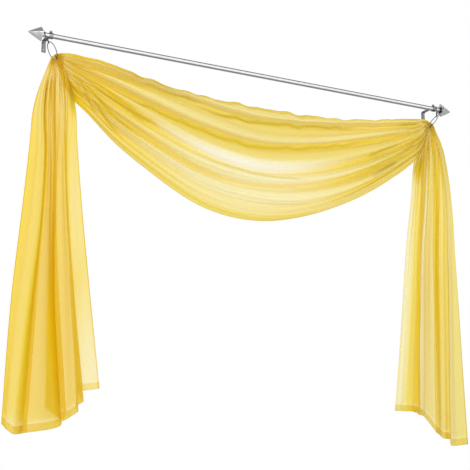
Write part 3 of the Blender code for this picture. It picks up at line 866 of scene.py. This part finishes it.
def wireRing(name, centre, hang, axis, radius, wire, settings):
    # A torus: centre + (radius + wire cos b)(hang cos a + cross sin a) + axis * wire sin b.
    a = np.linspace(0, 2 * math.pi, settings["ringSteps"] + 1)[:, None, None]
    b = (np.arange(settings["wireSides"]) * 2 * math.pi / settings["wireSides"])[None, :, None]
    out = hang * np.cos(a) + np.cross(axis, hang) * np.sin(a)
    return closedPiece(name, centre + out * (radius + wire * np.cos(b)) + axis * wire * np.sin(b))


def rodProfile(settings):
    # Along, radius, cross-section power and flutes of each row, from end to end.
    radius, half, edge = settings["rodRadius"], settings["rodHalfLength"], settings["rodEdge"]
    inner = half - settings["rodRowsFrom"]
    rows = [(-half, 0.0), (-half, radius - edge), (-half + edge, radius)]
    rows += [(place, radius) for place in np.linspace(-inner, inner, settings["rodRows"])]
    rows += [(half - edge, radius), (half, radius - edge), (half, 0.0)]
    return [(along, size, 2.0, 0) for along, size in rows]


def finialProfile(settings):
    # The same of a finial, from the socket's floor over the base and the faces to the tip.
    full, tip, length = settings["finialHalfDiagonal"], settings["finialTip"], settings["finialLength"]
    socket, floor = settings["finialSocketRadius"], settings["finialSocketDepth"]
    circle, square = 2.0, settings["squareness"]
    baseRadius, basePower = settings["baseRing"]
    rimAlong, rimIn, faceIn = settings["rim"]
    pointBack, pointRadius, pointPower = settings["point"]
    rows = [
        (floor, 0.0, circle, 0), (floor, socket, circle, 0), (0.0, socket, circle, 0),
        (0.0, socket * baseRadius, basePower, 0), (0.0, full - 2 * tip, square, 0),
        (tip * rimAlong, full - tip * rimIn, square, 0),
    ]
    for share in np.linspace(0.0, 1.0, settings["faceRows"] + 1)[:-1]:
        radius = tip + (full - faceIn * tip) * (1 - share) ** settings["faceBulge"]
        rows.append((tip + (length - 2 * tip) * share, radius, square, 0))
    return rows + [(length - tip * pointBack, tip * pointRadius, pointPower, 0), (length, 0.0, circle, 0)]


def screwProfile(settings):
    # The same of a clamp screw, from its end by the rod over its seat on the sleeve to its top.
    foot = settings["rodRadius"] + settings["screwGap"]
    seat = settings["sleeveRadius"] + settings["screwGap"]
    head, top, edge = settings["screwRadius"], seat + settings["screwHeight"], settings["screwEdge"]
    shank = settings["screwShank"]
    rows = [(foot, 0.0, 0), (foot, shank, 0), (seat, shank, 0), (seat, head - edge, 0)]
    rows += [(seat + edge, head, 1), (top - edge, head, 1), (top, head - edge, 0)]
    rows += [(top - edge, head - 3 * edge, 0), (top - edge, 0.0, 0)]
    return [(along, size, 2.0, fluted) for along, size, fluted in rows]


def makeSteelParts(settings, ringSettings, rings):
    # The finer pieces, each under the name of the solid that it covers; the collars cover none.
    axis, sides = backWay * -wallToRod, settings["rodSides"]
    made = {"rod": turnedPiece("rodTube", rodProfile(settings), sides, axis, acrossWay, backWay)}
    for end, side in (("left", -1), ("right", 1)):
        out = acrossWay * side
        base, screw = axis + out * settings["finialBase"], axis + out * settings["bracketPlace"]
        made["finial_" + end] = turnedPiece(
            "arrowFinial" + end.title(), finialProfile(settings), settings["finialSides"], base, out, backWay
        )
        made["collar_" + end] = wireRing(
            "finialCollar" + end.title(), base, upWay, acrossWay,
            settings["collarRadius"], settings["collarWire"], settings
        )
        made["clamp_screw_" + end] = turnedPiece(
            "thumbScrew" + end.title(), screwProfile(settings), settings["screwSides"],
            screw, upWay, acrossWay, settings["screwFlutes"], settings["fluteDepth"]
        )
        for level in ("upper", "lower"):
            centre, hang, turnAxis = rings[end][level]
            made["ring_" + level + "_" + end] = wireRing(
                level + "Ring" + end.title(), centre, hang, turnAxis,
                ringSettings[level + "Radius"], ringSettings["wireRadius"], settings
            )
    print("steel parts", len(made))
    return made


# Cloth finish.

clothFinish = {
    "threadSpacing": 0.0011,
    "slub": 0.5,  # how much the threads' unevenness changes their cover
    "slubStretch": (900.0, 30.0),  # its pattern across and along a thread
    "slubDetail": 2.0,
    "slubTone": 0.8,  # how far a slub goes to the darker tone
    "slubDarker": 0.84,  # which is this share of the deep colour
    "colour": (0.89, 0.625, 0.055),
    "farColour": (0.77, 0.645, 0.165),  # past the left tail
    "farRange": (1.25, 2.10, 0.0, 1.0),  # metres from the left hem, share of it at each
    # partly painted light: paler for open threads and for lightened cloth
    "openAndLitColour": (0.91, 0.80, 0.155),
    # painted shade: the golden colour given to folds, creases and gather troughs
    "paintedRecessColour": (1.0, 0.74, 0.002),
    "shadeColour": (0.42, 0.28, 0.04),
    "throughColour": (0.90, 0.71, 0.060),
    "paintedRecessThroughColour": (0.93, 0.72, 0.002),  # painted: the light through the cloth in the deepest recesses
    "deepestPower": 3.0,
    "filmColour": (1.0, 0.97, 0.62),
    "stretchedFilmColour": (1.0, 1.0, 0.94),
    "throughShare": 0.40,
    "throughInRecess": 0.10,  # what the painted shade in the folds adds to it
    "facingCover": 0.79,  # how much of a thread layer seen square on is yarn
    "edgeCover": 0.97,  # and seen edge on
    "facingBlend": 0.5,
    "recessCover": 0.30,  # what the painted shade in the folds adds, in place of layered cloth
    "stretchCover": -0.72,  # what stretched threads take away, and where painted light lightens the cloth
    "weaveContrast": 0.10,
    "weaveMiddle": 0.7,  # the weave's cover that changes nothing
    "yarn": {
        "Roughness": 0.75, "Specular IOR Level": 0.25,
        "Sheen Weight": 0.13, "Sheen Roughness": 0.4, "Sheen Tint": (1.0, 0.95, 0.70, 1.0),
    },
    "bumpStrength": 0.25,
    "bumpHeight": 0.0003,
}


def makeWeaveGroup(settings):
    # Plain weave: the higher of two crossed thread waves, with uneven slubs along each thread.
    group, inside, outside = newGroup("voileWeave", ("Vector", "Thread Spacing", "Slub"), ("Cover", "Slubs"))
    split = group.nodes.new("ShaderNodeSeparateXYZ")
    group.links.new(inside["Vector"], split.inputs[0])
    waves = []
    for axis in ("X", "Y"):
        turns = mathNode(group, "DIVIDE", split.outputs[axis], inside["Thread Spacing"])
        wave = mathNode(group, "SINE", mathNode(group, "MULTIPLY", turns, 2 * math.pi))
        waves.append(mathNode(group, "MULTIPLY_ADD", wave, 0.5, 0.5))
    across, along = settings["slubStretch"]
    slubs = [
        noiseNode(group, inside["Vector"], stretch, settings["slubDetail"])
        for stretch in ((across, along, 1.0), (along, across, 1.0))
    ]
    slubs = mathNode(group, "SUBTRACT", mathNode(group, "ADD", *slubs), 1.0)
    uneven = mathNode(group, "MULTIPLY", slubs, inside["Slub"])
    cover = mathNode(group, "ADD", mathNode(group, "MAXIMUM", *waves), uneven)
    group.links.new(slubs, outside["Slubs"])
    group.links.new(cover, outside["Cover"])
    return group


def mixShaders(tree, share, first, second):
    # A Mix Shader node with a linked share of the second shader.
    made = tree.nodes.new("ShaderNodeMixShader")
    for socket, value in zip(made.inputs, (share, first, second)):
        tree.links.new(value, socket)
    return made.outputs["Shader"]


def makeClothFinish(settings, weaveGroup):
    # Partly translucent yarn, mixed with a tinted clear film where the threads leave the cloth open.
    finish, tree, shader = newFinish("sheerVoile")
    nodes, links = tree.nodes, tree.links
    flat = nodes.new("ShaderNodeUVMap")
    flat.uv_map = "cloth"
    weave = nodes.new("ShaderNodeGroup")
    weave.node_tree = weaveGroup
    weave.inputs["Thread Spacing"].default_value = settings["threadSpacing"]
    weave.inputs["Slub"].default_value = settings["slub"]
    links.new(flat.outputs["UV"], weave.inputs["Vector"])
    marks = {}
    for name in ("recessShade", "stretch", "shade"):
        mark = nodes.new("ShaderNodeAttribute")
        mark.attribute_name = name
        marks[name] = mark.outputs["Fac"]

    split = nodes.new("ShaderNodeSeparateXYZ")
    links.new(flat.outputs["UV"], split.inputs[0])
    far = rangeNode(tree, split.outputs["Y"], settings["farRange"])
    tone = mixNode(tree, "RGBA", far, settings["colour"], settings["farColour"])
    # Painted light and shade: paler where open or lit, golden in the folds, brown in shadow.
    for mark, colour in (("stretch", "openAndLitColour"), ("recessShade", "paintedRecessColour"), ("shade", "shadeColour")):
        tone = mixNode(tree, "RGBA", marks[mark], tone, settings[colour])
    slub = mathNode(tree, "MULTIPLY", weave.outputs["Slubs"], settings["slubTone"], clamp=True)
    darker = tuple(c * settings["slubDarker"] for c in settings["paintedRecessColour"])
    links.new(mixNode(tree, "RGBA", slub, tone, darker), shader.inputs["Base Color"])
    for name, value in settings["yarn"].items():
        shader.inputs[name].default_value = value
    addBump(tree, shader, weave.outputs["Cover"], settings["bumpStrength"], settings["bumpHeight"])

    through = nodes.new("ShaderNodeBsdfTranslucent")
    # Painted: in the deepest folds the light through the cloth takes a deeper colour, and there is more of it.
    deepest = mathNode(tree, "POWER", marks["recessShade"], settings["deepestPower"])
    lit = mixNode(tree, "RGBA", deepest, settings["throughColour"], settings["paintedRecessThroughColour"])
    links.new(lit, through.inputs["Color"])
    more, least = settings["throughInRecess"], settings["throughShare"]
    share = mathNode(tree, "MULTIPLY_ADD", marks["recessShade"], more, least)
    yarn = mixShaders(tree, share, shader.outputs["BSDF"], through.outputs["BSDF"])

    facing = nodes.new("ShaderNodeLayerWeight")
    facing.inputs["Blend"].default_value = settings["facingBlend"]
    covers = (0.0, 1.0, settings["facingCover"], settings["edgeCover"])
    opacity = rangeNode(tree, facing.outputs["Facing"], covers, "LINEAR")
    uneven = mathNode(tree, "SUBTRACT", weave.outputs["Cover"], settings["weaveMiddle"])
    # Painted shade makes the folds more opaque; open threads and painted light make the cloth less so.
    weights = ((uneven, "weaveContrast"), (marks["recessShade"], "recessCover"), (marks["stretch"], "stretchCover"))
    for value, weight in weights:
        change = mathNode(tree, "MULTIPLY", value, settings[weight])
        opacity = mathNode(tree, "ADD", change, opacity, clamp=True)
    film = nodes.new("ShaderNodeBsdfTransparent")
    tint = mixNode(tree, "RGBA", marks["stretch"], settings["filmColour"], settings["stretchedFilmColour"])
    links.new(tint, film.inputs["Color"])
    sheer = mixShaders(tree, opacity, film.outputs["BSDF"], yarn)
    links.new(sheer, nodes["Material Output"].inputs["Surface"])
    return finish


# Steel finishes.

steelFinish = {
    "dullTone": 0.35,  # a dull patch's colour over the clean one's
    "dullRoughness": 0.3,  # what it adds to the roughness
    # name in the group, stretch along each axis, detail
    "grain": (
        ("Streaks", (12.0, 900.0, 900.0), 3.0),
        ("Patches", (60.0, 90.0, 90.0), 4.0),
        ("Waves", (45.0, 45.0, 45.0), 0.0),
    ),
    # colour, roughness, how much the streaks change it, dull patches, how wavy the face is
    "kinds": {
        "polished": ((0.45, 0.45, 0.455), 0.15, 0.08, 0.20, 0.0009),
        "cast": ((0.80, 0.80, 0.79), 0.26, 0.10, 0.22, 0.0014),
        "wire": ((0.13, 0.13, 0.14), 0.30, 0.10, 0.30, 0.0),
        "plated": ((0.26, 0.26, 0.27), 0.30, 0.14, 0.35, 0.0004),
    },
    "ofPieces": {"ring": "wire", "collar": "wire", "finial": "cast"},  # the others go by their slot
}


def makeGrainGroup(settings):
    # Fine streaks along the rod, dull patches and slow waves, each from its own noise.
    names = [name for name, _, _ in settings["grain"]]
    group, inside, outside = newGroup("steelGrain", ("Vector",), names)
    for name, stretch, detail in settings["grain"]:
        group.links.new(noiseNode(group, inside["Vector"], stretch, detail), outside[name])
    return group


def makeSteelFinish(name, settings, grainGroup):
    # The colour darkens and the roughness grows where a patch is dull; streaks vary the roughness.
    finish, tree, shader = newFinish(name + "Steel")
    colour, roughness, streaks, dullness, waves = settings["kinds"][name]
    shader.inputs["Metallic"].default_value = 1.0
    where = tree.nodes.new("ShaderNodeTexCoord")
    grain = tree.nodes.new("ShaderNodeGroup")
    grain.node_tree = grainGroup
    tree.links.new(where.outputs["Object"], grain.inputs["Vector"])
    dull = mathNode(tree, "MULTIPLY", grain.outputs["Patches"], dullness, clamp=True)
    darker = tuple(c * settings["dullTone"] for c in colour)
    tree.links.new(mixNode(tree, "RGBA", dull, colour, darker), shader.inputs["Base Color"])
    rough = mathNode(tree, "MULTIPLY_ADD", grain.outputs["Streaks"], streaks, roughness - streaks / 2)
    rough = mathNode(tree, "MULTIPLY_ADD", dull, settings["dullRoughness"], rough)
    tree.links.new(rough, shader.inputs["Roughness"])
    if waves:
        addBump(tree, shader, grain.outputs["Waves"], 1.0, waves)
    return finish


# The pieces, each with its finish.

scarf = makeScarf(scarfSettings, rings)
scarf.data.materials.append(makeClothFinish(clothFinish, makeWeaveGroup(clothFinish)))
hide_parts("scarf")
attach(scarf, "root")

grainGroup = makeGrainGroup(steelFinish)
steels = {name: makeSteelFinish(name, steelFinish, grainGroup) for name in steelFinish["kinds"]}
slots = {row["node"]: row["material_slot"] for row in frame["record"]["subparts"]}
for node, piece in makeSteelParts(steelSettings, ringSettings, rings).items():
    slot = slots.get(node, "polished_steel")
    kind = steelFinish["ofPieces"].get(node.split("_")[0], slot.split("_")[0])
    piece.data.materials.append(steels[kind])
    if node in slots:
        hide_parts(node)
    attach(piece, "root")
for node in ("bracket_left", "bracket_right"):
    for place in frame["nodes"][node].material_slots:
        place.material = steels["plated"]
print("finishes set")
